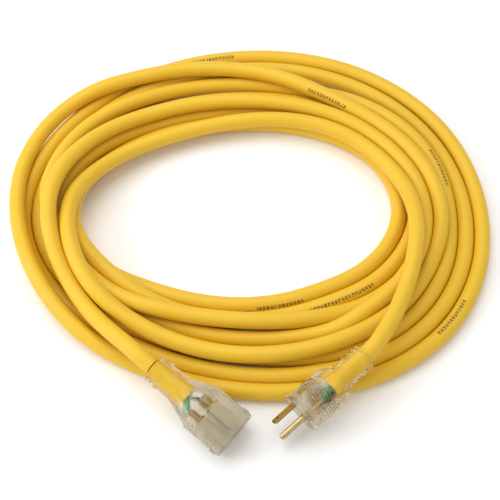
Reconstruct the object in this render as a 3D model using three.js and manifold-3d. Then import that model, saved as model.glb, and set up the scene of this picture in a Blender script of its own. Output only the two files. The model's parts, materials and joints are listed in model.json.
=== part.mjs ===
// A grounded extension cord, wound into a loose coil that lies flat, with its moulded plug
// and its moulded lighted connector resting at the front of the coil.
// Millimetres, +Z up. The finished set stands on z = 0 with its box centred on x = y = 0.
import * as THREE from 'three';
import { mergeVertices } from 'three/addons/utils/BufferGeometryUtils.js';
import Module from 'manifold-3d';

const kernel = await Module();
kernel.setup();

// ---------------------------------------------------------------- driving dimensions

const gap = 0.3; // clearance between pieces that touch

const cordRadius = 6.2; // three 10 AWG conductors in a round jacket
const jacketBore = 4.8;
const conductorOffset = 2.4; // conductor axes from the cord's own axis
const insulationRadius = 1.9;
const insulationBore = 1.3;
const copperRadius = 1.0;
const crimpRadius = 2.2;

// The coil in plan: its inner and outer edge, as distances from its centre every 30 degrees.
const coilInnerEdge = [112, 95.5, 79, 70.5, 75, 93, 124, 107, 85.5, 82, 89, 103];
const coilOuterEdge = [185, 179.5, 164, 153, 162, 188, 185.5, 176.5, 165, 164, 179, 188];
// Each pair is a place across the bundle, 0 inside to 1 outside, and a share of its height.
const coilSection = [[0, 0], [1, 0], [1, 0.36], [0.84, 0.5], [0.62, 1], [0.36, 1], [0.2, 0.77], [0, 0.36]];
// The turns bunch up at the coil's left and right, and spread out at its front and back.
const coilHeight = { mean: 31, swing: 6 };
const coilSteps = 72;

// Blade layout of a grounded 15 A, 125 V plug.
const bladeSpread = 6.35; // each blade's distance from the middle
const bladeDrop = 4.5; // blades below the plug's axis
const groundRise = 7.4; // ground pin above the plug's axis
const bladeSize = { thick: 1.5, tall: 6.35, long: 17.5 };
const groundPinRadius = 2.38;
const groundPinLength = 21.4;

const plugLength = 61;
const plugHead = { halfWidth: 13, top: 12.5, bottom: 11.5 };
const reliefRadius = 9.75;
const plugJacketEnd = -28;
const plugStrip = -17.6; // where each conductor's insulation stops
const plugCrimpStart = -17;
const plugCrimpEnd = -9;
const bridge = { back: -8, front: -3.3, halfWidth: 9.5, bottom: -8.6, top: 10.6 };

const connectorLength = 74;
const connectorHead = { halfWidth: 12.5, halfHeight: 17 };
const connectorJacketEnd = -42;
const connectorStrip = -34.6;
const connectorCrimpStart = -34;
const contactBack = -26;
const contactFront = -5;
const block = { back: -24, halfWidth: 10.8, halfHeight: 13.5 };

// Where the two ends lie, measured from the coil's centre, and how they are turned.
const plugPlace = { at: [33.6, -181.3, 19.8], yaw: 220.6, pitch: 10, roll: -42.5 };
const connectorPlace = { at: [-10.5, -194.5, 13.2], yaw: -37.7, pitch: 12.8, roll: -88 };

// The cord's run from each end to where it joins the coil's lay.
const plugTailRoute = [
  [79.6, -141.9, 30.5],
  [88, -133.6, 32],
  [97.5, -117.8, 30.4],
  [107.9, -97.4, 26.4],
  [116.6, -72, 26.2],
  [121.2, -48, 27.6],
];
const connectorTailRoute = [
  [-68.2, -149.9, 29.7],
  [-78.4, -141.8, 31.6],
  [-91, -128.8, 29.4],
  [-107, -112, 23],
  [-124, -89.5, 19.6],
  [-142, -60.5, 24.2],
];

// ---------------------------------------------------------------- materials

const finish = (color, roughness, metalness = 0, opacity = 1) => new THREE.MeshStandardMaterial({
  color,
  roughness,
  metalness,
  opacity,
  transparent: opacity < 1,
});

const yellowJacket = () => finish(0xefc03c, 0.35);
const clearVinyl = () => finish(0xd9cfae, 0.15, 0, 0.45);
const clearInsert = () => finish(0xe6e0cc, 0.25, 0, 0.6);
const brass = () => finish(0xb08d4e, 0.3, 1);
const copper = () => finish(0xc0703c, 0.4, 1);
const blackVinyl = () => finish(0x23201e, 0.45);
const whiteVinyl = () => finish(0xeeeae0, 0.45);
const greenVinyl = () => finish(0x4fae78, 0.45);
const lampGlass = () => finish(0xf2c9a0, 0.08, 0, 0.6);
const resistorLacquer = () => finish(0xc9a878, 0.5);
const tinnedWire = () => finish(0xb9bcc0, 0.3, 1);

// ---------------------------------------------------------------- shape helpers

// A closed geometry as a solid that can be joined and cut.
function solidOf(geometry) {
  const bare = geometry.clone();
  bare.deleteAttribute('normal');
  bare.deleteAttribute('uv');
  const merged = mergeVertices(bare, 1e-4);
  const mesh = new kernel.Mesh({
    numProp: 3,
    vertProperties: new Float32Array(merged.attributes.position.array),
    triVerts: new Uint32Array(merged.index.array),
  });
  return new kernel.Manifold(mesh);
}

function geometryOf(solid) {
  const mesh = solid.getMesh();
  const geometry = new THREE.BufferGeometry();
  geometry.setAttribute('position', new THREE.BufferAttribute(new Float32Array(mesh.vertProperties), 3));
  geometry.setIndex(new THREE.BufferAttribute(new Uint32Array(mesh.triVerts), 1));
  geometry.computeVertexNormals();
  return geometry;
}

function join(solids) {
  return solids.reduce((whole, next) => whole.add(next));
}

function cut(solid, tools) {
  return tools.reduce((rest, tool) => rest.subtract(tool), solid);
}

// A box between two corners.
function boxBetween(low, high) {
  const size = high.map((value, axis) => value - low[axis]);
  const geometry = new THREE.BoxGeometry(...size);
  geometry.translate(...low.map((value, axis) => value + size[axis] / 2));
  return solidOf(geometry);
}

// A turned shape about a line parallel to X. The profile gives pairs of x and radius.
function turned(profile, y = 0, z = 0, sides = 16) {
  const points = profile.map(([x, radius]) => new THREE.Vector2(radius, x));
  const geometry = new THREE.LatheGeometry(points, sides);
  geometry.rotateZ(-Math.PI / 2);
  geometry.translate(0, y, z);
  return solidOf(geometry);
}

function rod(from, to, radius, y = 0, z = 0, sides = 16) {
  return turned([[from, 0], [from, radius], [to, radius], [to, 0]], y, z, sides);
}

// A round tube or wire along a smooth curve through the points.
function wire(points, radius, sides, steps) {
  const section = new THREE.Shape();
  section.absarc(0, 0, radius, 0, 2 * Math.PI);
  const route = new THREE.CatmullRomCurve3(points.map((point) => new THREE.Vector3(...point)));
  const geometry = new THREE.ExtrudeGeometry(section, {
    curveSegments: sides / 2,
    steps,
    extrudePath: route,
  });
  return solidOf(geometry);
}

// The same route with its far end carried on in a straight line.
function lengthened(route, extra) {
  const end = new THREE.Vector3(...route.at(-1));
  const along = end.clone().sub(new THREE.Vector3(...route.at(-2))).normalize();
  return [...route.slice(0, -1), end.addScaledVector(along, extra).toArray()];
}

// A closed skin over rings set along X. Roundness 2 is an ellipse, and more is squarer.
function loft(rings, around = 24) {
  const positions = [];
  const index = [];
  for (const ring of rings) {
    const power = 2 / ring.roundness;
    for (let side = 0; side < around; side += 1) {
      const angle = (2 * Math.PI * side) / around;
      const across = Math.sign(Math.cos(angle)) * Math.abs(Math.cos(angle)) ** power;
      const up = Math.sign(Math.sin(angle)) * Math.abs(Math.sin(angle)) ** power;
      positions.push(ring.x, ring.halfWidth * across, up * (up > 0 ? ring.top : ring.bottom));
    }
  }
  const last = rings.length - 1;
  positions.push(rings[0].x, 0, 0, rings[last].x, 0, 0);
  const backCentre = rings.length * around;
  const frontCentre = backCentre + 1;
  for (let side = 0; side < around; side += 1) {
    const next = (side + 1) % around;
    for (let ring = 0; ring < last; ring += 1) {
      const here = ring * around;
      const ahead = here + around;
      index.push(here + side, here + next, ahead + side);
      index.push(here + next, ahead + next, ahead + side);
    }
    index.push(backCentre, next, side);
    index.push(frontCentre, last * around + side, last * around + next);
  }
  const geometry = new THREE.BufferGeometry();
  geometry.setAttribute('position', new THREE.BufferAttribute(new Float32Array(positions), 3));
  geometry.setIndex(index);
  return solidOf(geometry);
}

const roundRing = (x, radius) => ({ x, halfWidth: radius, top: radius, bottom: radius, roundness: 2 });

// Raised rings on a strain relief, from its rear end forward.
function reliefRings(start, count, pitch, crest, valley) {
  const rings = [];
  for (let rib = 0; rib < count; rib += 1) {
    const x = start + rib * pitch;
    rings.push(roundRing(x, crest), roundRing(x + pitch * 0.5, crest));
    rings.push(roundRing(x + pitch * 0.62, valley), roundRing(x + pitch * 0.9, valley));
  }
  return rings;
}

// ---------------------------------------------------------------- the set

const cordSet = new THREE.Group();

function addPiece(parent, name, solid, material) {
  const mesh = new THREE.Mesh(geometryOf(solid), material);
  mesh.name = name;
  parent.add(mesh);
}

function placedGroup({ at, yaw, pitch, roll }) {
  const group = new THREE.Group();
  const turn = [roll, pitch, yaw].map(THREE.MathUtils.degToRad);
  group.rotation.set(...turn, 'ZYX');
  group.position.set(...at);
  cordSet.add(group);
  return group;
}

const plug = placedGroup(plugPlace);
const connector = placedGroup(connectorPlace);

// ---------------------------------------------------------------- conductors

// Each end has the same three conductors. They lie in a triangle inside the jacket and
// fan out past its cut end to their crimps, some by way of a bend.
function conductorRoute(length, jacketEnd, crimpStart, start, crimp, bend = []) {
  return [
    [-length, ...start],
    [jacketEnd - 3, ...start],
    [jacketEnd + 0.5, ...start],
    ...bend,
    [crimpStart - 1.5, ...crimp],
    [crimpStart + 2, ...crimp],
    [crimpStart + 5.5, ...crimp],
  ];
}

function jacketStart(degrees) {
  const angle = THREE.MathUtils.degToRad(degrees);
  return [conductorOffset * Math.cos(angle), conductorOffset * Math.sin(angle)];
}

// Adds a conductor's insulation and copper, and returns the channel that they need.
function addConductor(parent, name, route, stripAt, material) {
  const steps = 16;
  const insulated = boxBetween([-200, -50, -50], [stripAt, 50, 50]);
  const core = wire(route, insulationBore, 8, steps);
  const insulation = wire(route, insulationRadius, 8, steps).intersect(insulated).subtract(core);
  addPiece(parent, `${name}_insulation`, insulation, material);
  addPiece(parent, `${name}_copper`, wire(route, copperRadius, 6, steps), copper());
  return wire(route, insulationRadius + gap, 8, steps);
}

// The jacket's cut end, gripped inside a moulding.
function addJacketEnd(parent, name, from, to) {
  const jacket = rod(from, to, cordRadius, 0, 0, 20).subtract(rod(from - 1, to + 1, jacketBore, 0, 0, 20));
  addPiece(parent, name, jacket, yellowJacket());
  return rod(from - 1, to + gap, cordRadius + gap, 0, 0, 20);
}

// A crimp barrel that opens towards the conductor.
function crimpBarrel(from, to, y, z) {
  const barrel = rod(from, to, crimpRadius, y, z, 12);
  return barrel.subtract(rod(from - 1, from + 6, insulationBore, y, z, 8));
}

// ---------------------------------------------------------------- plug

const bladeHeight = bladeSize.tall / 2;
const bladeRoot = plugCrimpEnd - 1;

function bladeBody(y, margin, from, to) {
  const halfThick = bladeSize.thick / 2 + margin;
  const low = [from, y - halfThick, -bladeDrop - bladeHeight - margin];
  return boxBetween(low, [to, y + halfThick, -bladeDrop + bladeHeight + margin]);
}

// A blade has a locating hole near its tip and sloped tip corners.
function blade(y) {
  const tipCut = 1.6;
  const body = loft([
    { x: bladeRoot, halfWidth: bladeSize.thick / 2, top: bladeHeight, bottom: bladeHeight, roundness: 40 },
    {
      x: bladeSize.long - tipCut,
      halfWidth: bladeSize.thick / 2,
      top: bladeHeight,
      bottom: bladeHeight,
      roundness: 40,
    },
    {
      x: bladeSize.long,
      halfWidth: bladeSize.thick / 4,
      top: bladeHeight - tipCut / 2,
      bottom: bladeHeight - tipCut / 2,
      roundness: 40,
    },
  ], 8).translate([0, y, -bladeDrop]);
  const hole = new THREE.CylinderGeometry(1.6, 1.6, 6, 12);
  hole.translate(bladeSize.long - 5.5, y, -bladeDrop);
  return join([body, crimpBarrel(plugCrimpStart, plugCrimpEnd, y, -bladeDrop)]).subtract(solidOf(hole));
}

function groundPin() {
  const tip = groundPinLength;
  const shank = turned([
    [plugCrimpEnd - 1, 0],
    [plugCrimpEnd - 1, groundPinRadius],
    [tip - 2.2, groundPinRadius],
    [tip - 0.9, groundPinRadius * 0.83],
    [tip - 0.2, groundPinRadius * 0.45],
    [tip, 0],
  ], 0, groundRise);
  return shank.add(crimpBarrel(plugCrimpStart, plugCrimpEnd, 0, groundRise));
}

// The insert that holds the blades and the pin while the plug is moulded round it.
function bridgeShape(margin) {
  const low = [bridge.back - margin, -bridge.halfWidth - margin, bridge.bottom - margin];
  return boxBetween(low, [bridge.front + margin, bridge.halfWidth + margin, bridge.top + margin]);
}

const bladeSlots = [-1, 1].map((side) => bladeBody(side * bladeSpread, gap, -20, 5));
const pinHole = rod(-20, 5, groundPinRadius + gap, 0, groundRise);

const plugHeadRing = (x, grow) => ({
  x,
  halfWidth: plugHead.halfWidth + grow,
  top: plugHead.top + grow,
  bottom: plugHead.bottom + grow,
  roundness: 4,
});

function plugOuter() {
  const rings = reliefRings(-plugLength, 6, 4, reliefRadius, reliefRadius - 0.9);
  rings.push(roundRing(-37, reliefRadius));
  rings.push({ x: -34, halfWidth: 11.9, top: 11.4, bottom: 10.6, roundness: 2.8 });
  rings.push(plugHeadRing(-30, -0.4));
  rings.push(plugHeadRing(-27, 0), plugHeadRing(-4, 0));
  rings.push(plugHeadRing(-3, 0.8), plugHeadRing(-0.6, 0.8), plugHeadRing(0, 0.3));
  return loft(rings);
}

const plugConductors = [
  {
    name: 'plug_hot',
    start: jacketStart(30),
    bend: [[-23.5, 6.6, 0.6]],
    crimp: [bladeSpread, -bladeDrop],
    material: blackVinyl(),
  },
  {
    name: 'plug_neutral',
    start: jacketStart(150),
    bend: [],
    crimp: [-bladeSpread, -bladeDrop],
    material: whiteVinyl(),
  },
  {
    name: 'plug_ground',
    start: jacketStart(270),
    bend: [[-23.5, -3.4, 5.6]],
    crimp: [0, groundRise],
    material: greenVinyl(),
  },
];
// In the plug the ground lies above the blades, so its conductor starts on the upper side.
for (const conductor of plugConductors) {
  conductor.start[1] *= -1;
}

const plugChannels = plugConductors.map(({ name, start, bend, crimp, material }) => {
  const route = conductorRoute(plugLength, plugJacketEnd, plugCrimpStart, start, crimp, bend);
  const channel = addConductor(plug, name, route, plugStrip, material);
  return channel.add(rod(plugCrimpStart - gap, bridge.back, crimpRadius + gap, ...crimp, 12));
});
plugChannels.push(addJacketEnd(plug, 'plug_jacket_end', -plugLength, plugJacketEnd));

addPiece(plug, 'plug_hot_blade', blade(bladeSpread), brass());
addPiece(plug, 'plug_neutral_blade', blade(-bladeSpread), brass());
addPiece(plug, 'plug_ground_pin', groundPin(), brass());
addPiece(plug, 'plug_blade_bridge', cut(bridgeShape(0), [...bladeSlots, pinHole]), clearInsert());
const plugHollows = [...plugChannels, ...bladeSlots, pinHole, bridgeShape(gap)];
addPiece(plug, 'plug_body', cut(plugOuter(), plugHollows), clearVinyl());

// ---------------------------------------------------------------- connector

// The row of blade slots faces up and the ground hole is below it.
const contactSize = { halfWidth: 2.2, halfHeight: 4.3 };

function contactShape(y, margin, from, to) {
  const low = [from, y - contactSize.halfWidth - margin, bladeDrop - contactSize.halfHeight - margin];
  const halfWidth = contactSize.halfWidth + margin;
  return boxBetween(low, [to, y + halfWidth, bladeDrop + contactSize.halfHeight + margin]);
}

// A blade contact is a folded strip: a spring sleeve in front and a crimp barrel behind.
function bladeContact(y) {
  const slot = boxBetween([-22, y - 1, bladeDrop - 3.6], [0, y + 1, bladeDrop + 3.6]);
  const sleeve = contactShape(y, 0, contactBack, contactFront).subtract(slot);
  return sleeve.add(crimpBarrel(connectorCrimpStart, contactBack + 0.5, y, bladeDrop));
}

const groundSleeveRadius = 3.7;

function groundContact() {
  const sleeve = rod(contactBack, contactFront, groundSleeveRadius, 0, -groundRise);
  const bored = sleeve.subtract(rod(-22, 0, 2.6, 0, -groundRise));
  return bored.add(crimpBarrel(connectorCrimpStart, contactBack + 0.5, 0, -groundRise));
}

function blockShape(margin) {
  const halfWidth = block.halfWidth + margin;
  const halfHeight = block.halfHeight + margin;
  return boxBetween([block.back - margin, -halfWidth, -halfHeight], [margin, halfWidth, halfHeight]);
}

// Slots in the face: the neutral slot is taller than the hot one.
const faceSlots = [
  boxBetween([-8, bladeSpread - 1.1, bladeDrop - 3.7], [2, bladeSpread + 1.1, bladeDrop + 3.7]),
  boxBetween([-8, -bladeSpread - 1.1, bladeDrop - 4.4], [2, -bladeSpread + 1.1, bladeDrop + 4.4]),
  rod(-8, 2, 2.8, 0, -groundRise),
];
const contactPockets = [
  contactShape(bladeSpread, gap, contactBack - gap, contactFront + gap),
  contactShape(-bladeSpread, gap, contactBack - gap, contactFront + gap),
  rod(contactBack - gap, contactFront + gap, groundSleeveRadius + gap, 0, -groundRise),
];

const connectorRing = (x, halfWidth, halfHeight, roundness) => ({
  x,
  halfWidth,
  top: halfHeight,
  bottom: halfHeight,
  roundness,
});

function connectorOuter() {
  const { halfWidth, halfHeight } = connectorHead;
  const rings = reliefRings(-connectorLength, 2, 3.6, reliefRadius, reliefRadius - 0.8);
  rings.push(roundRing(-66.4, 10.9), roundRing(-63.4, 10.9), roundRing(-62.6, 9.9));
  rings.push(roundRing(-52, 10.2));
  rings.push(connectorRing(-46, 10.5, 11.8, 2.4));
  rings.push(connectorRing(-40, 11.3, 13.8, 3));
  rings.push(connectorRing(-34, 12.2, 15.6, 4));
  rings.push(connectorRing(-28, halfWidth, 16.7, 5));
  rings.push(connectorRing(-1, halfWidth, halfHeight, 5));
  rings.push(connectorRing(0, halfWidth - 0.6, halfHeight - 0.6, 5));
  return loft(rings);
}

// The two lugs behind the face that keep a mated plug's flange level.
const lug = { back: -8, front: -3, halfWidth: 4, inner: 16, outer: 19 };

function faceLug(side) {
  const edges = [side * lug.inner, side * lug.outer];
  const low = [lug.back, -lug.halfWidth, Math.min(...edges)];
  return boxBetween(low, [lug.front, lug.halfWidth, Math.max(...edges)]);
}

const connectorConductors = [
  { name: 'connector_hot', start: jacketStart(30), crimp: [bladeSpread, bladeDrop], material: blackVinyl() },
  {
    name: 'connector_neutral',
    start: jacketStart(150),
    crimp: [-bladeSpread, bladeDrop],
    material: whiteVinyl(),
  },
  { name: 'connector_ground', start: jacketStart(270), crimp: [0, -groundRise], material: greenVinyl() },
];
const connectorChannels = connectorConductors.map(({ name, start, crimp, material }) => {
  const route = conductorRoute(connectorLength, connectorJacketEnd, connectorCrimpStart, start, crimp);
  const channel = addConductor(connector, name, route, connectorStrip, material);
  return channel.add(rod(connectorCrimpStart - gap, contactBack, crimpRadius + gap, ...crimp, 12));
});
const jacketSeat = addJacketEnd(connector, 'connector_jacket_end', -connectorLength, connectorJacketEnd);
connectorChannels.push(jacketSeat);

addPiece(connector, 'connector_hot_contact', bladeContact(bladeSpread), brass());
addPiece(connector, 'connector_neutral_contact', bladeContact(-bladeSpread), brass());
addPiece(connector, 'connector_ground_contact', groundContact(), brass());
const blockSolid = cut(blockShape(0), [...faceSlots, ...contactPockets]);
addPiece(connector, 'connector_contact_block', blockSolid, clearInsert());

// The glow lamp that shows the connector is live, with its dropper resistor and leads.
const lamp = { back: -37, front: -26.2, radius: 2, z: 6.3 };
const resistor = { back: -33, front: -27, radius: 1.1, z: 0.8 };
const leadRadius = 0.4;

function lampShape(margin) {
  return turned([
    [lamp.back - margin, 0],
    [lamp.back - margin, 0.6 + margin],
    [lamp.back + 1.6, lamp.radius + margin],
    [lamp.front + 2 * margin, lamp.radius + margin],
    [lamp.front + 2 * margin, 0],
  ], 0, lamp.z, 12);
}

const resistorShape = (margin) => rod(
  resistor.back - 2 * margin,
  resistor.front + 2 * margin,
  resistor.radius + margin,
  0,
  resistor.z,
  10,
);

const lampLeads = [
  { name: 'connector_lamp_lead_hot', route: [[-25.8, 0.9, 6.3], [-25.2, 1.9, 6.1], [-25.1, 3.5, 5.6]] },
  {
    name: 'connector_lamp_lead_middle',
    route: [[-25.8, -0.9, 6.3], [-25, -1.4, 4.3], [-25.2, -0.9, 2], [-26.6, 0, 0.8]],
  },
  {
    name: 'connector_lamp_lead_neutral',
    route: [[-33.4, 0, 0.8], [-34.3, -1.1, 1.2], [-33.6, -2.5, 2.3], [-32.4, -3.5, 3.1]],
  },
];
addPiece(connector, 'connector_lamp', lampShape(0), lampGlass());
addPiece(connector, 'connector_lamp_resistor', resistorShape(0), resistorLacquer());
const leadChannels = lampLeads.map(({ name, route }) => {
  addPiece(connector, name, wire(route, leadRadius, 6, 8), tinnedWire());
  return wire(lengthened(route, 2 * gap), leadRadius + gap, 6, 8);
});

const connectorHollows = [
  ...connectorChannels,
  ...contactPockets,
  blockShape(gap),
  lampShape(gap),
  resistorShape(gap),
  ...leadChannels,
];
const connectorMoulding = join([connectorOuter(), faceLug(-1), faceLug(1)]);
addPiece(connector, 'connector_body', cut(connectorMoulding, connectorHollows), clearVinyl());

// ---------------------------------------------------------------- cord

// A smooth closed edge through points given by their distances from the coil's centre.
function coilEdge(distances) {
  const corners = distances.map((distance, station) => {
    const angle = (2 * Math.PI * station) / distances.length;
    return new THREE.Vector3(distance * Math.cos(angle), distance * Math.sin(angle), 0);
  });
  return new THREE.CatmullRomCurve3(corners, true);
}

// The wound part of the cord as one plain ring, flat underneath.
function coilRing() {
  const inner = coilEdge(coilInnerEdge);
  const outer = coilEdge(coilOuterEdge);
  const positions = [];
  const index = [];
  const around = coilSection.length;
  for (let step = 0; step < coilSteps; step += 1) {
    const turn = step / coilSteps;
    const height = coilHeight.mean + coilHeight.swing * Math.cos(4 * Math.PI * turn);
    for (const [across, share] of coilSection) {
      const place = inner.getPoint(turn).lerp(outer.getPoint(turn), across);
      positions.push(place.x, place.y, share * height);
    }
    const here = step * around;
    const ahead = ((step + 1) % coilSteps) * around;
    for (let corner = 0; corner < around; corner += 1) {
      const next = (corner + 1) % around;
      index.push(here + corner, ahead + corner, here + next);
      index.push(here + next, ahead + corner, ahead + next);
    }
  }
  const geometry = new THREE.BufferGeometry();
  geometry.setAttribute('position', new THREE.BufferAttribute(new Float32Array(positions), 3));
  geometry.setIndex(index);
  return solidOf(geometry);
}

// The groove a loose end lies in where it passes over the coil, ending just past it.
function tailGroove(route) {
  return wire(lengthened(route, gap), cordRadius + gap, 10, 12);
}

// Room in the coil for a moulding that rests against it.
function roomFor(group, solid) {
  group.updateMatrix();
  return solid.transform(group.matrix.elements);
}

const plugRoomRadius = 16.6; // clears the corners of the plug's head
const plugRoom = turned([
  [-plugLength - gap, 0],
  [-plugLength - gap, reliefRadius + gap],
  [-38, reliefRadius + gap],
  [-31, plugRoomRadius],
  [1, plugRoomRadius],
  [1, 0],
]);
const connectorWaist = { front: -40, radius: 11.3 };
const connectorWaistRoom = rod(-connectorLength - gap, connectorWaist.front, connectorWaist.radius);
const headRoom = { back: -47, front: 1, halfWidth: 13.6, halfHeight: 19.4 };
const connectorHeadRoom = boxBetween(
  [headRoom.back, -headRoom.halfWidth, -headRoom.halfHeight],
  [headRoom.front, headRoom.halfWidth, headRoom.halfHeight],
);

const coil = cut(coilRing(), [
  tailGroove(plugTailRoute),
  tailGroove(connectorTailRoute),
  roomFor(plug, plugRoom),
  roomFor(connector, connectorWaistRoom.add(connectorHeadRoom)),
]);
addPiece(cordSet, 'cord_coil', coil, yellowJacket());
addPiece(cordSet, 'cord_plug_tail', wire(plugTailRoute, cordRadius, 10, 10), yellowJacket());
addPiece(cordSet, 'cord_connector_tail', wire(connectorTailRoute, cordRadius, 10, 12), yellowJacket());

// Stand the set on z = 0 with its box centred on the origin.
cordSet.updateMatrixWorld(true);
const reach = new THREE.Box3().setFromObject(cordSet, true);
const middle = reach.getCenter(new THREE.Vector3());
cordSet.position.set(-middle.x, -middle.y, -reach.min.z);
cordSet.updateMatrixWorld(true);

export default cordSet;
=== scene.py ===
"""A grounded extension cord in a loose flat coil, with a clear plug and a clear lighted connector.

Lengths are in metres, or in millimetres where a comment says so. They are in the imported
part's own frame, with +Z up and the bench at z = 0.
"""
import json
import math

import bmesh
import bpy
import numpy as np
from mathutils import Matrix, Vector


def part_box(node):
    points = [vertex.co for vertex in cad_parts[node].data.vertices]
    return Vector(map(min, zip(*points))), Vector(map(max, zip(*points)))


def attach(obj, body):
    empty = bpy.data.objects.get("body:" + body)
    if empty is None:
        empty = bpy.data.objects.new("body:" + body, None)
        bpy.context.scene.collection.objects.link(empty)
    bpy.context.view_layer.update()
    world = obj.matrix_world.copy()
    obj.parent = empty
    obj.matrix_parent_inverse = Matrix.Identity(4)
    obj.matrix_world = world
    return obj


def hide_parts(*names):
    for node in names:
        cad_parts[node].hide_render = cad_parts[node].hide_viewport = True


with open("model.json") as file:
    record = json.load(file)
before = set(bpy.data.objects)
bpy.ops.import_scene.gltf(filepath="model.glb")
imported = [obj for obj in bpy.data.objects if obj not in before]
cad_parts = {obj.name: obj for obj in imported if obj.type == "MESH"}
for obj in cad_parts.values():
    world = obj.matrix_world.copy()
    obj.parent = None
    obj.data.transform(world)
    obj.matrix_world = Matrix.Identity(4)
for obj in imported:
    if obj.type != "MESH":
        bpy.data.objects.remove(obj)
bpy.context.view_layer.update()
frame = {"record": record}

# ---------------------------------------------------------------- camera
# A camera on a stand in front of the coil, which looks steeply down at the point that the
# cord's turns go round.

# The coil's own centre lies a little behind the middle of its box.
CENTRE_OFF_BOX = (0.0003, 0.0061)
coil_low, coil_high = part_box("cord_coil")
coil_centre = Vector((
    (coil_low[0] + coil_high[0]) / 2 + CENTRE_OFF_BOX[0],
    (coil_low[1] + coil_high[1]) / 2 + CENTRE_OFF_BOX[1],
    0,
))
lay_centre = coil_centre + Vector((-0.0005, -0.0127, 0))

CAMERA_DISTANCE = 0.9
CAMERA_ELEVATION = math.radians(57)
CAMERA_SENSOR = 36  # millimetres, as the lens is
CAMERA_LENS = 83.1
CAMERA_SHIFT = -0.052  # leaves the room above the coil that its ends take below it
camera_data = bpy.data.cameras.new("camera")
camera_data.sensor_width = CAMERA_SENSOR
camera_data.lens = CAMERA_LENS
camera_data.shift_y = CAMERA_SHIFT
camera = bpy.data.objects.new("camera", camera_data)
view_back = Vector((0, -math.cos(CAMERA_ELEVATION), math.sin(CAMERA_ELEVATION)))
camera.location = lay_centre + CAMERA_DISTANCE * view_back
camera.rotation_euler = (-view_back).to_track_quat("-Z", "Y").to_euler()
bpy.context.collection.objects.link(camera)
bpy.context.scene.camera = camera

# ---------------------------------------------------------------- cord
# One round cable of three conductors in a yellow vinyl jacket. It was wound by hand, turn on
# turn, so each turn keeps its own line and rests where the turns under it let it.

CORD_DIAMETER = 0.0124
CORD_RADIUS = CORD_DIAMETER / 2
POINT_SPACING = 0.0065
MILLIMETRES = 1000  # to a metre, for the sizes below that are given in millimetres

# The loose runs at the two ends, from the coil's centre, as the solids' tails follow them.
PLUG_TAIL = [
    (0.0796, -0.1419, 0.0305),
    (0.0880, -0.1336, 0.0320),
    (0.0975, -0.1178, 0.0304),
]
CONNECTOR_TAIL = [
    (-0.0682, -0.1499, 0.0297),
    (-0.0784, -0.1418, 0.0316),
    (-0.0910, -0.1288, 0.0294),
]

# Each row is one turn, as the turn's distance in millimetres from the lay's centre every
# 30 degrees. The first row leaves the plug and the last one reaches the connector.
TURNS = [
    (133, 127, 115, 99, 89, 93, 114, 139, 136, 124, 122, 128),
    (138, 146, 136, 129, 141, 157, 186, 178, 162, 146, 145, 159),
    (175, 179, 179, 172, 165, 166, 173, 177, 154, 135, 133, 145),
    (162, 167, 165, 158, 152, 152, 162, 165, 142, 121, 118, 132),
    (150, 154, 146, 134, 135, 144, 156, 152, 126, 101, 93, 101),
    (121, 138, 140, 126, 119, 127, 144, 146, 114, 84, 76, 81),
    (98, 120, 119, 102, 93, 100, 123, 141, 117, 95, 89, 95),
    (113, 134, 132, 114, 106, 114, 136, 149, 129, 109, 103, 110),
    (127, 136, 128, 113, 107, 117, 138, 153, 147),
]
FIRST_STATION = 330  # degrees round from +X, past the plug
STATION_STEP = 30
# How high each turn is held before it is let down. A higher turn comes to lie on a lower one.
TURN_ORDER = (9, 7, 4, 3, 3.5, 0, 1, 2.5, 6)
TURN_LIFT = 0.011


def curved(points, steps=12):
    """A smooth line through the points."""
    ends = np.vstack((2 * points[0] - points[1], points, 2 * points[-1] - points[-2]))
    share = np.linspace(0, 1, steps, endpoint=False)[:, None]
    stretches = []
    for before, start, stop, after in zip(ends, ends[1:], ends[2:], ends[3:]):
        square = (2 * before - 5 * start + 4 * stop - after) * share**2
        cube = (3 * start - before - 3 * stop + after) * share**3
        stretches.append(0.5 * (2 * start + (stop - before) * share + square + cube))
    return np.vstack((*stretches, points[-1]))


def run_along(points):
    """How far along the line each point lies."""
    steps = np.linalg.norm(np.diff(points, axis=0), axis=1)
    return np.concatenate(([0], np.cumsum(steps)))


def evenly(points, places):
    """The line's points at the given distances along it."""
    run = run_along(points)
    return np.stack([np.interp(places, run, column) for column in points.T], axis=1)


lane = []
for turn, distances in enumerate(TURNS):
    for station, distance in enumerate(distances):
        angle = math.radians(FIRST_STATION + STATION_STEP * station)
        held = CORD_RADIUS + TURN_LIFT * TURN_ORDER[turn]
        x = lay_centre.x + distance / MILLIMETRES * math.cos(angle)
        y = lay_centre.y + distance / MILLIMETRES * math.sin(angle)
        lane.append((x, y, held))
plug_tail = np.array(PLUG_TAIL) + np.array(coil_centre)
connector_tail = np.array(CONNECTOR_TAIL) + np.array(coil_centre)
held_high = CORD_RADIUS + TURN_LIFT * max(TURN_ORDER)
first_run = plug_tail * (1, 1, 0) + (0, 0, held_high)
last_run = connector_tail[::-1] * (1, 1, 0) + (0, 0, held_high)
whole = curved(np.vstack((first_run, lane, last_run)))
flat_run = run_along(whole * (1, 1, 0))
count = round(flat_run[-1] / POINT_SPACING) + 1
even_places = np.linspace(0, flat_run[-1], count)
points = np.stack([np.interp(even_places, flat_run, column) for column in whole.T], axis=1)
lane_line = points[:, :2].copy()

# The first few points at each end are held where the moulding holds the cord.
HELD = 5
held_places = np.arange(HELD) * POINT_SPACING
held_start = evenly(curved(plug_tail), held_places)
held_stop = evenly(curved(connector_tail), held_places)[::-1]


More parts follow.
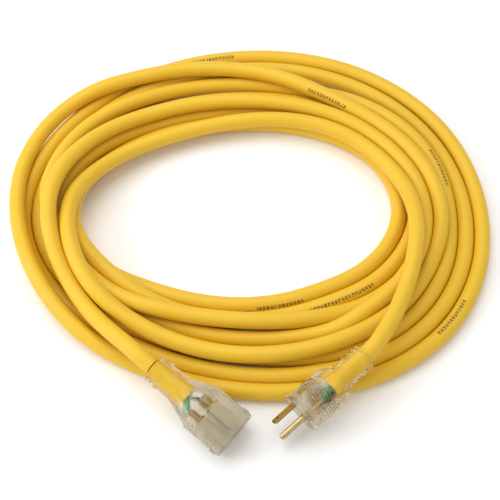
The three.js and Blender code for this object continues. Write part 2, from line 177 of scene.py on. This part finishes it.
def end_frame(mount_name, hot_node, neutral_node, face_lift):
    """Where a moulding's face is and how it is turned: +X out of the face, +Y to the hot side."""
    mount = next(m for m in frame["record"]["mounts"] if m["name"] == mount_name)
    boxes = map(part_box, (hot_node, neutral_node))
    hot, neutral = [(Vector(low) + Vector(high)) / 2 for low, high in boxes]
    outward = Vector(mount["axis"]).normalized()
    across = (hot - neutral).normalized()
    up = outward.cross(across).normalized()
    turned = Matrix((outward, across, up)).transposed().to_4x4()
    return Matrix.Translation(Vector(mount["pos_m"]) - face_lift * up) @ turned


# Each face's mount lies a little to one side of the moulding's middle line.
MOUNT_LIFT = 0.002
plug_frame = end_frame("plug_face", "plug_hot_blade", "plug_neutral_blade", -MOUNT_LIFT)
connector_frame = end_frame(
    "connector_face", "connector_hot_contact", "connector_neutral_contact", MOUNT_LIFT,
)

# The turns also lie clear of the two mouldings, each stood in for by balls along its middle.
# A ball is given by how far behind the face it is and by its radius, in millimetres.
PLUG_BALLS = [
    (2, 15), (9, 15), (16, 15), (23, 15), (30, 14.5),
    (36, 12), (42, 9.8), (48, 9.8), (54, 9.8), (59, 9.8),
]
CONNECTOR_BALLS = [
    (2, 15.5), (10, 15.5), (18, 15.5), (26, 15.5), (34, 15),
    (42, 13), (50, 10.5), (58, 10.5), (65, 11), (71, 9.8),
]
balls = []
for moulding_frame, spots in ((plug_frame, PLUG_BALLS), (connector_frame, CONNECTOR_BALLS)):
    for behind_face, radius in spots:
        middle = moulding_frame @ Vector((-behind_face / MILLIMETRES, 0, 0))
        balls.append((np.array(middle), radius / MILLIMETRES + CORD_RADIUS))

# The cord is let down a little at a time. In each step it sinks, is drawn to its own line,
# is straightened as a stiff cord straightens itself, and is pushed off what it touches.
LOWERING_STEPS = 300
SETTLING_STEPS = 120
SLOWER_FROM = 0.6 * LOWERING_STEPS
FAST_SINK = 0.0005
SLOW_SINK = 0.0002
SETTLING_SINK = 0.00004
LOWERING_PULL = 0.2  # how much of the way to its own line a point is drawn in a step
SETTLING_PULL = 0.04
STIFFNESS = ((1, 0.25), (3, 0.12), (6, 0.03))  # over how many points, and how strongly
ENDS_LIFT = 0.085
ENDS_DOWN_AT = 0.7 * LOWERING_STEPS
ENTERING = 14  # points at each end that no ball moves, as they lead into a moulding
NEAR = CORD_DIAMETER + 0.005
NEAR_EVERY = 8  # steps between two searches for points that are near each other
NEIGHBOURS = 3  # points to each side that never count as touching
LOWERING_PASSES = 3  # pushes in each step
SETTLING_PASSES = 4
TOUCH_SPAN = 0.8 * POINT_SPACING
TURN_PUSH = 1.6  # times the mean of a point's pushes, so that piles open in fewer steps
BALL_PUSH = 0.7
LEAST_DISTANCE = 1e-9
free = np.ones(count, bool)
free[:ENTERING] = False
free[-ENTERING:] = False
for step in range(LOWERING_STEPS + SETTLING_STEPS):
    settling = step >= LOWERING_STEPS
    lift = max(0, ENDS_LIFT * (1 - step / ENDS_DOWN_AT))
    if step % NEAR_EVERY == 0:
        apart = points[None, :, :2] - points[:, None, :2]
        one, other = np.nonzero((apart**2).sum(axis=2) < NEAR**2)
        not_neighbours = np.abs(one - other) > NEIGHBOURS
        one, other = one[not_neighbours], other[not_neighbours]
    lane_pull = SETTLING_PULL if settling else LOWERING_PULL
    points[:, :2] += lane_pull * (lane_line - points[:, :2])
    points[:, 2] -= SETTLING_SINK if settling else FAST_SINK if step < SLOWER_FROM else SLOW_SINK
    for reach, strength in STIFFNESS:
        near = points[reach : -3 * reach] + points[3 * reach : -reach]
        far = points[: -4 * reach] + points[4 * reach :]
        pull = (4 * near - far) / 6 - points[2 * reach : -2 * reach]
        points[2 * reach : -2 * reach] += strength * pull
    for _ in range(SETTLING_PASSES if settling else LOWERING_PASSES):
        heading = np.gradient(points, axis=0)
        heading /= np.linalg.norm(heading, axis=1)[:, None]
        apart = points[other] - points[one]
        ahead = (apart * heading[one]).sum(axis=1)
        aside = apart - ahead[:, None] * heading[one]
        distance = np.linalg.norm(aside, axis=1)
        touching = (np.abs(ahead) < TOUCH_SPAN) & (distance < CORD_DIAMETER)
        overlap = CORD_DIAMETER - distance[touching]
        overlap /= np.maximum(distance[touching], LEAST_DISTANCE)
        push = 0.5 * overlap[:, None] * aside[touching]
        moved = np.zeros_like(points)
        shares = np.zeros(count)
        for ends, sign in ((one[touching], -1), (other[touching], 1)):
            np.add.at(moved, ends, sign * push)
            np.add.at(shares, ends, 1)
        points += TURN_PUSH * moved / np.maximum(shares, 1)[:, None]
        for middle, reach in balls:
            away = points - middle - (0, 0, lift)
            distance = np.linalg.norm(away, axis=1)
            inside = free & (distance < reach)
            out = (reach - distance[inside]) / distance[inside]
            points[inside] += BALL_PUSH * out[:, None] * away[inside]
        points[:, 2] = np.maximum(points[:, 2], CORD_RADIUS)
        points[:HELD] = held_start + (0, 0, lift)
        points[-HELD:] = held_stop + (0, 0, lift)
cord_run = run_along(points)
cord_length = float(cord_run[-1])
points = evenly(points, np.linspace(0, cord_length, count))

cord_curve = bpy.data.curves.new("cord", "CURVE")
cord_curve.dimensions = "3D"
cord_curve.twist_mode = "Z_UP"
cord_curve.bevel_depth = 1  # each point carries the cord's own radius instead
cord_curve.bevel_resolution = 6
cord_curve.resolution_u = 2
cord_curve.use_fill_caps = True
spline = cord_curve.splines.new("NURBS")
spline.points.add(count - 1)
for point, place in zip(spline.points, points):
    point.co = (*place, 1)
    point.radius = CORD_RADIUS
spline.order_u = 4
spline.use_endpoint_u = True
cord = bpy.data.objects.new("cord", cord_curve)
bpy.context.collection.objects.link(cord)
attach(cord, "root")
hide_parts("cord_coil", "cord_plug_tail", "cord_connector_tail")


class Value:
    """A number that varies over a surface, so that sums on it add the shader's own maths."""

    def __init__(self, shader, socket):
        self.shader = shader
        self.socket = socket

    def maths(self, operation, *others):
        return self.shader.node("ShaderNodeMath", {"operation": operation}, [self, *others])

    def __add__(self, other):
        return self.maths("ADD", other)

    def __mul__(self, other):
        return self.maths("MULTIPLY", other)

    def __sub__(self, other):
        return self.maths("SUBTRACT", other)

    def __rsub__(self, other):
        return self.maths("MULTIPLY_ADD", -1, other)

    __radd__ = __add__
    __rmul__ = __mul__


class Finish:
    """A material, its surface shader, and one method that adds any other node."""

    def __init__(self, name, **sockets):
        self.material = bpy.data.materials.new(name)
        self.material.use_nodes = True
        self.tree = self.material.node_tree
        self.surface = self.tree.nodes["Principled BSDF"]
        for socket, value in sockets.items():
            self.set(self.surface.inputs[socket.replace("_", " ")], value)
        self.place = self.node("ShaderNodeTexCoord", {}, [], "Object")
        self.along = self.node("ShaderNodeTexCoord", {}, [], "UV")

    def set(self, socket, value):
        if isinstance(value, Value):
            self.tree.links.new(value.socket, socket)
        else:
            socket.default_value = value

    def node(self, kind, settings, inputs, output=0):
        """Adds a node. Inputs are a list in socket order, or a dict by socket name."""
        made = self.tree.nodes.new(kind)
        for name, value in settings.items():
            setattr(made, name, value)
        named = inputs.items() if isinstance(inputs, dict) else enumerate(inputs)
        for name, value in named:
            self.set(made.inputs[name], value)
        return Value(self, made.outputs[output])

    def noise(self, scale, detail=2):
        inputs = {"Vector": self.place, "Scale": scale, "Detail": detail}
        return self.node("ShaderNodeTexNoise", {}, inputs)

    def blend(self, share, first, second):
        inputs = {0: share, 6: first, 7: second}
        return self.node("ShaderNodeMix", {"data_type": "RGBA"}, inputs, 2)

    def bump(self, height, distance, strength=1):
        inputs = {"Height": height, "Distance": distance, "Strength": strength}
        return self.node("ShaderNodeBump", {}, inputs)

    def feed(self, **sockets):
        for socket, value in sockets.items():
            self.set(self.surface.inputs[socket.replace("_", " ")], value)


def jacket_grain(finish):
    """The fine grain of the jacket's skin."""
    return finish.bump(finish.noise(900, 3), 0.0002, 0.3)


YELLOW = (0.80, 0.51, 0.03, 1)
DEEP_YELLOW = (0.72, 0.44, 0.026, 1)
INK = (0.06, 0.04, 0.012, 1)
INK_DEPTH = 0.75
JACKET_SHEEN = {"Roughness": 0.42, "Specular_IOR_Level": 0.3}

# The jacket has rows of short printed dashes here and there. Each mark gives how far along
# the cord its middle is, how far round it is as a share of a turn, and how long it is. Seen
# along the cord, its top is at 0.1875 of a turn and its right side at 0.4375.
MARKS = [
    (1.045, 0.045, 0.036),
    (1.804, 0.165, 0.036),
    (2.207, 0.120, 0.036),
    (3.908, 0.243, 0.034),
    (4.641, 0.257, 0.034),
    (5.330, 0.350, 0.034),
    (6.060, 0.280, 0.052),
]
MARK_WIDTH = 0.075  # as a share of a turn
DASH_PITCH = 0.0028
DASH_SHARE = 0.78  # of its pitch
WORN_UNDER = 0.42
printed = Finish("printed yellow jacket", **JACKET_SHEEN)
along = printed.node("ShaderNodeSeparateXYZ", {}, [printed.along])
length_run = along * cord_length
way_round = printed.node("ShaderNodeSeparateXYZ", {}, [printed.along], 1)
ink = 0 * length_run
for middle, side, length in MARKS:
    on_length = length_run.maths("COMPARE", middle, length / 2)
    ink = ink + on_length * way_round.maths("COMPARE", side, MARK_WIDTH / 2)
dashes = (length_run * (1 / DASH_PITCH)).maths("FRACT").maths("LESS_THAN", DASH_SHARE)
not_worn = printed.noise(900, 3).maths("GREATER_THAN", WORN_UNDER)
yellow = printed.blend(printed.noise(14), YELLOW, DEEP_YELLOW)
printed.feed(Base_Color=printed.blend(ink * dashes * not_worn * INK_DEPTH, yellow, INK))
printed.feed(Normal=jacket_grain(printed))
cord_curve.materials.append(printed.material)

# ---------------------------------------------------------------- plug
# A soft clear vinyl plug, moulded in one shot round the cord, the blades and their bridge.
# Its rear is a ribbed strain relief, and its head has fine grip ribs and a flange at the face.

AROUND = 48  # points round each section of a moulding
# Side ribs stop short of the top, and top ribs short of the sides. The fade is how quickly
# a rib comes and goes round a section. The levels are where it does so, times the fade.
RIB_FADE = 4
RIB_FROM = 2.8
SIDE_RIB_TO = 3
TOP_RIB_TO = 3.8
RELIEF_EASE = 0.4  # millimetres that a relief rib's rear corner is taken down by
SHARP_FROM = math.radians(38)


def section(form, x, half_width, top, bottom, roundness, side_rib=0, top_rib=0):
    """One closed ring of a moulding. Roundness 2 is an ellipse, and more is squarer."""
    made = bmesh.ops.create_circle(form, segments=AROUND, radius=1)["verts"]
    for corner, vert in enumerate(made):
        angle = 2 * math.pi * corner / AROUND
        round_parts = (math.cos(angle), math.sin(angle))
        across, up = (math.copysign(abs(part) ** (2 / roundness), part) for part in round_parts)
        on_side = min(1, RIB_FADE * abs(across) - RIB_FROM, SIDE_RIB_TO - RIB_FADE * up)
        on_top = min(1, RIB_FADE * abs(up) - RIB_FROM, TOP_RIB_TO - RIB_FADE * abs(across))
        y = half_width * across + max(0, on_side) * math.copysign(side_rib, across)
        z = up * (top if up > 0 else bottom) + max(0, on_top) * math.copysign(top_rib, up)
        vert.co = Vector((x, y, z)) / MILLIMETRES
    return made


def loft(form, sections):
    """A closed skin over rings that are given as lists of sizes in millimetres."""
    loops = []
    for sizes in sections:
        made = section(form, *sizes)
        ring = [edge for edge in form.edges if edge.verts[0] in made and edge.verts[1] in made]
        loops.append(ring)
    for one, next_one in zip(loops, loops[1:]):
        bmesh.ops.bridge_loops(form, edges=one + next_one)
    bmesh.ops.holes_fill(form, edges=loops[0] + loops[-1], sides=AROUND)
    bmesh.ops.recalc_face_normals(form, faces=form.faces)


def relief_sections(start, count, pitch, crest, valley):
    """Raised rings on a strain relief, from its rear end forward."""
    eased = crest - RELIEF_EASE
    outline = ((0, eased), (0.1, crest), (0.48, crest), (0.6, valley), (0.9, valley))
    made = []
    for rib in range(count):
        x = start + rib * pitch
        for share, radius in outline:
            made.append((x + share * pitch, radius, radius, radius, 2))
    return made


def ribbed(sizes, start, stop, count, side_rib=0, top_rib=0):
    """A straight stretch of a moulding's head with fine ribs across it."""
    pitch = (stop - start) / count
    outline = ((0, 0), (0.25, 1), (0.6, 1), (0.85, 0))
    made = []
    for rib in range(count):
        x = start + rib * pitch
        for share, height in outline:
            made.append((x + share * pitch, *sizes, side_rib * height, top_rib * height))
    return made


def finished(name, form, placed, material, *nodes):
    """Puts a form where its moulding is, in place of the CAD nodes named."""
    form.transform(placed)
    mesh = bpy.data.meshes.new(name)
    form.to_mesh(mesh)
    form.free()
    mesh.materials.append(material)
    mesh.polygons.foreach_set("use_smooth", [True] * len(mesh.polygons))
    mesh.set_sharp_from_angle(angle=SHARP_FROM)
    piece = bpy.data.objects.new(name, mesh)
    bpy.context.collection.objects.link(piece)
    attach(piece, "root")
    if nodes:
        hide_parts(*nodes)
    return piece


CLEAR = (0.90, 0.84, 0.68, 1)
CLOUDY = (0.83, 0.76, 0.58, 1)
# Painted shade for the grooves between the grip ribs.
PAINTED_GROOVE_SHADE = (0.05, 0.04, 0.02, 1)
# Painted refraction: the yellow that the clear vinyl is painted with behind the jacket's end,
# brightened to make up for the light lost inside the moulding.
PAINTED_JACKET_REFRACTION = (1.0, 0.86, 0.28, 1)
MOST_PAINTED_REFRACTION = 0.8
PAINTED_REFRACTION_FADE = 150  # how quickly the jacket's colour comes in, to a metre
GROOVE_FROM = 0.72  # where a groove starts, as a share of a rib's pitch


def clear_vinyl(name, moulding_frame, jacket_end, ribs, groove_shade_depth):
    """Soft clear vinyl, with the jacket that it grips painted in as painted refraction, and
    painted shade in its grooves.
    """
    made = Finish(name, Transmission_Weight=1.0, IOR=1.47, Alpha=0.66)
    outward = moulding_frame.col[0].to_3d()
    dot = {"operation": "DOT_PRODUCT"}
    from_origin = made.node("ShaderNodeVectorMath", dot, [made.place, outward], "Value")
    from_face = from_origin - moulding_frame.translation.dot(outward)
    # The jacket seen through the vinyl is painted in as painted refraction, growing towards the
    # rear from where the jacket ends.
    gripped = (jacket_end - from_face) * PAINTED_REFRACTION_FADE
    gripped = gripped + made.noise(150) * 0.8
    gripped = gripped.maths("MAXIMUM", 0).maths("MINIMUM", MOST_PAINTED_REFRACTION)
    plain = made.blend(made.noise(60), CLEAR, CLOUDY)
    start, stop, count = ribs
    rib_middle = (start + stop) / (2 * MILLIMETRES)
    rib_reach = (stop - start) / (2 * MILLIMETRES)
    in_ribs = from_face.maths("COMPARE", rib_middle, rib_reach)
    ribs_on = (from_face - start / MILLIMETRES) * (MILLIMETRES * count / (stop - start))
    groove = ribs_on.maths("FRACT").maths("GREATER_THAN", GROOVE_FROM)
    # The grooves between the ribs are darkened here as painted shade.
    plain = made.blend(in_ribs * groove * groove_shade_depth, plain, PAINTED_GROOVE_SHADE)
    made.feed(Base_Color=made.blend(gripped, plain, PAINTED_JACKET_REFRACTION))
    made.feed(Roughness=made.noise(300) * 0.08 + 0.03)
    made.feed(Normal=made.bump(made.noise(220, 3), 0.0006, 0.5))
    return made.material


# Sizes along a moulding are in millimetres in front of its face, so those behind it are
# below zero. A head gives its half width, its height above and below, and its roundness.
# Ribs give where they start, where they stop and how many they are.
PLUG_HEAD = (13, 12.5, 11.5, 4)
PLUG_RIBS = (-23.5, -13.5, 5)
PLUG_JACKET_END = -0.031  # where the gripped jacket stops, in metres
plug_form = bmesh.new()
loft(plug_form, [
    *relief_sections(-61, 6, 4, 9.75, 8.85),
    (-37, 9.75, 9.75, 9.75, 2),
    (-34, 11.9, 11.4, 10.6, 2.8),
    (-30, 12.6, 12.1, 11.1, 4),
    (-27, *PLUG_HEAD),
    *ribbed(PLUG_HEAD, *PLUG_RIBS, 0.5, 1.0),
    (-13.3, *PLUG_HEAD),
    (-4, *PLUG_HEAD),
    (-3, 13.8, 13.3, 12.3, 4),
    (-0.6, 13.8, 13.3, 12.3, 4),
    (0, 13.3, 12.8, 11.8, 4),
    (0, 12.2, 11.7, 10.7, 4),
    (-0.5, 11.8, 11.3, 10.3, 4),
])
plug_vinyl = clear_vinyl("clear plug vinyl", plug_frame, PLUG_JACKET_END, PLUG_RIBS, 1)
plug_body = finished("plug_moulding", plug_form, plug_frame, plug_vinyl, "plug_body")

# ---------------------------------------------------------------- connector
# A soft clear vinyl connector, moulded in one shot round the cord and the block of contacts.
# Its long waist has a raised collar. As it lies, its sides are ribbed, with a lug on each.

CONNECTOR_HEAD = (12.5, 17, 17, 5)
CONNECTOR_RIBBED = (12.5, 16.4, 16.4, 5)
CONNECTOR_RIBS = (-32, -4, 11)
CONNECTOR_JACKET_END = -0.045  # in metres
connector_form = bmesh.new()
loft(connector_form, [
    *relief_sections(-74, 2, 3.6, 9.75, 8.95),
    (-66.4, 10.9, 10.9, 10.9, 2),
    (-63.4, 10.9, 10.9, 10.9, 2),
    (-62.6, 9.9, 9.9, 9.9, 2),
    (-52, 10.2, 10.2, 10.2, 2),
    (-46, 10.5, 11.8, 11.8, 2.4),
    (-40, 11.3, 13.8, 13.8, 3),
    (-34, 12.2, 15.6, 15.6, 4),
    *ribbed(CONNECTOR_RIBBED, *CONNECTOR_RIBS, 0, 0.7),
    (-3.6, *CONNECTOR_HEAD),
    (-1, *CONNECTOR_HEAD),
    (0, 11.9, 16.4, 16.4, 5),
    (0, 11.2, 14.0, 14.0, 9),
    (-1.2, 10.9, 13.7, 13.7, 9),
])
connector_vinyl = clear_vinyl(
    "clear connector vinyl", connector_frame, CONNECTOR_JACKET_END, CONNECTOR_RIBS, 0.1,
)
connector_body = finished(
    "connector_moulding", connector_form, connector_frame, connector_vinyl, "connector_body",
)

# The lugs' ends behind the face, their foot and top from the middle, and half their width.
LUG_BACK = -8
LUG_FRONT = -3
LUG_FOOT = 16
LUG_TOP = 19
LUG_HALF_WIDTH = 4
LUG_ROUNDING = 0.0009
for side in (-1, 1):
    lug_form = bmesh.new()
    bmesh.ops.create_cube(lug_form, size=1)
    for vert in lug_form.verts:
        z = LUG_FOOT if vert.co.z * side < 0 else LUG_TOP
        x = LUG_BACK if vert.co.x < 0 else LUG_FRONT
        vert.co = Vector((x, 2 * LUG_HALF_WIDTH * vert.co.y, side * z)) / MILLIMETRES
    bmesh.ops.recalc_face_normals(lug_form, faces=lug_form.faces)
    bmesh.ops.bevel(
        lug_form,
        geom=lug_form.edges,
        offset=LUG_ROUNDING,
        segments=3,
        profile=0.5,
        affect="EDGES",
        material=-1,
    )
    side_name = "lower" if side < 0 else "upper"
    lug = finished(f"connector_lug_{side_name}", lug_form, connector_frame, connector_vinyl)

# ---------------------------------------------------------------- what the mouldings hold
# Drawn brass blades, pin and contacts, stranded copper in coloured vinyl, the clear inserts,
# and the glow lamp with its resistor and leads. These are the CAD pieces, with their finishes.



def mottled(name, scale, colours, sheen_scale, sheen, sheen_spread, **sockets):
    """A finish in two close colours, whose roughness varies from the sheen up."""
    made = Finish(name, **sockets)
    first, second = ((*colour, 1) for colour in colours)
    made.feed(Base_Color=made.blend(made.noise(scale), first, second))
    made.feed(Roughness=made.noise(sheen_scale) * sheen_spread + sheen)
    return made


BRASS = (0.62, 0.50, 0.27), (0.42, 0.31, 0.14)
COPPER = (0.80, 0.38, 0.20), (0.62, 0.26, 0.12)
TIN = (0.62, 0.62, 0.63), (0.48, 0.48, 0.50)
CLEAR_INSERT = (0.95, 0.90, 0.78), (0.88, 0.82, 0.68)
LAMP_GLASS = (0.92, 0.60, 0.38), (0.95, 0.75, 0.55)
LACQUER = (0.60, 0.42, 0.22), (0.48, 0.32, 0.16)
BLACK = (0.012, 0.010, 0.009), (0.03, 0.026, 0.022)
WHITE = (0.86, 0.84, 0.79), (0.74, 0.72, 0.66)
GREEN = (0.16, 0.52, 0.27), (0.11, 0.42, 0.21)
brass = mottled("brass", 260, BRASS, 500, 0.12, 0.2, Metallic=1.0)
copper = mottled("copper", 900, COPPER, 900, 0.25, 0.3, Metallic=1.0)
tinned = mottled("tinned wire", 700, TIN, 700, 0.2, 0.2, Metallic=1.0)
insert = mottled("clear insert", 90, CLEAR_INSERT, 200, 0.15, 0.2, IOR=1.45, Alpha=0.3)
lamp_glass = mottled("lamp glass", 200, LAMP_GLASS, 200, 0.04, 0.1, IOR=1.45, Alpha=0.55)
lacquer = mottled("resistor lacquer", 600, LACQUER, 600, 0.35, 0.2)
black = mottled("black vinyl", 180, BLACK, 400, 0.3, 0.2)
white = mottled("white vinyl", 180, WHITE, 400, 0.3, 0.2)
green = mottled("green vinyl", 180, GREEN, 400, 0.3, 0.2)

# The jacket ends in the mouldings are a lighter yellow than the cord: painted light that makes up
# for the vinyl over them darkening it.
BRIGHTENED_JACKET_YELLOW = (0.95, 0.66, 0.06, 1)
DEEP_BRIGHTENED_JACKET_YELLOW = (0.88, 0.56, 0.04, 1)
jacket = Finish("yellow jacket", **JACKET_SHEEN)
jacket.feed(Base_Color=jacket.blend(jacket.noise(60), BRIGHTENED_JACKET_YELLOW, DEEP_BRIGHTENED_JACKET_YELLOW))
jacket.feed(Normal=jacket_grain(jacket))

WIRES = ("hot", "neutral", "ground")
held = {
    brass: (
        "plug_hot_blade", "plug_neutral_blade", "plug_ground_pin",
        "connector_hot_contact", "connector_neutral_contact", "connector_ground_contact",
    ),
    copper: [f"{end}_{wire}_copper" for end in ("plug", "connector") for wire in WIRES],
    black: ("plug_hot_insulation", "connector_hot_insulation"),
    white: ("plug_neutral_insulation", "connector_neutral_insulation"),
    green: ("plug_ground_insulation", "connector_ground_insulation"),
    insert: ("plug_blade_bridge", "connector_contact_block"),
    lamp_glass: ("connector_lamp",),
    lacquer: ("connector_lamp_resistor",),
    tinned: [f"connector_lamp_lead_{place}" for place in ("hot", "middle", "neutral")],
    # The jacket ends get the brightened jacket finish, which is painted light.
    jacket: ("plug_jacket_end", "connector_jacket_end"),
}
for finish, nodes in held.items():
    for node in nodes:
        kept = bpy.data.objects[node]
        kept.data.materials.clear()
        kept.data.materials.append(finish.material)

# ---------------------------------------------------------------- light and bench
# A white bench under a large soft light, with a second one at the left and a pale room.

ROOM_COLOUR = (1.0, 0.99, 0.97, 1)
ROOM_STRENGTH = 0.7
BENCH_WHITE = (0.97, 0.97, 0.97, 1)
BENCH_HALF_SIDE = 4
bpy.context.scene.view_settings.view_transform = "Standard"
room = bpy.data.worlds.new("room")
room.use_nodes = True
background = room.node_tree.nodes["Background"]
background.inputs["Color"].default_value = ROOM_COLOUR
background.inputs["Strength"].default_value = ROOM_STRENGTH
bpy.context.scene.world = room


def soft_light(name, place, size, power):
    """A square soft light that faces the coil."""
    light = bpy.data.lights.new(name, "AREA")
    light.size = size
    light.energy = power
    lamp = bpy.data.objects.new(name, light)
    lamp.location = place
    lamp.rotation_euler = (lay_centre - lamp.location).to_track_quat("-Z", "Y").to_euler()
    bpy.context.collection.objects.link(lamp)


soft_light("overhead", Vector((-0.3, 0.35, 1.3)), 1.2, 9)
soft_light("left", Vector((-1.3, -0.2, 0.8)), 0.8, 9)

bench_mesh = bpy.data.meshes.new("bench")
bench_form = bmesh.new()
bmesh.ops.create_grid(bench_form, x_segments=1, y_segments=1, size=BENCH_HALF_SIDE)
bench_form.to_mesh(bench_mesh)
bench_form.free()
bench = bpy.data.objects.new("bench", bench_mesh)
bpy.context.collection.objects.link(bench)
bench_finish = Finish("bench", Base_Color=BENCH_WHITE, Roughness=0.6)
bench_mesh.materials.append(bench_finish.material)
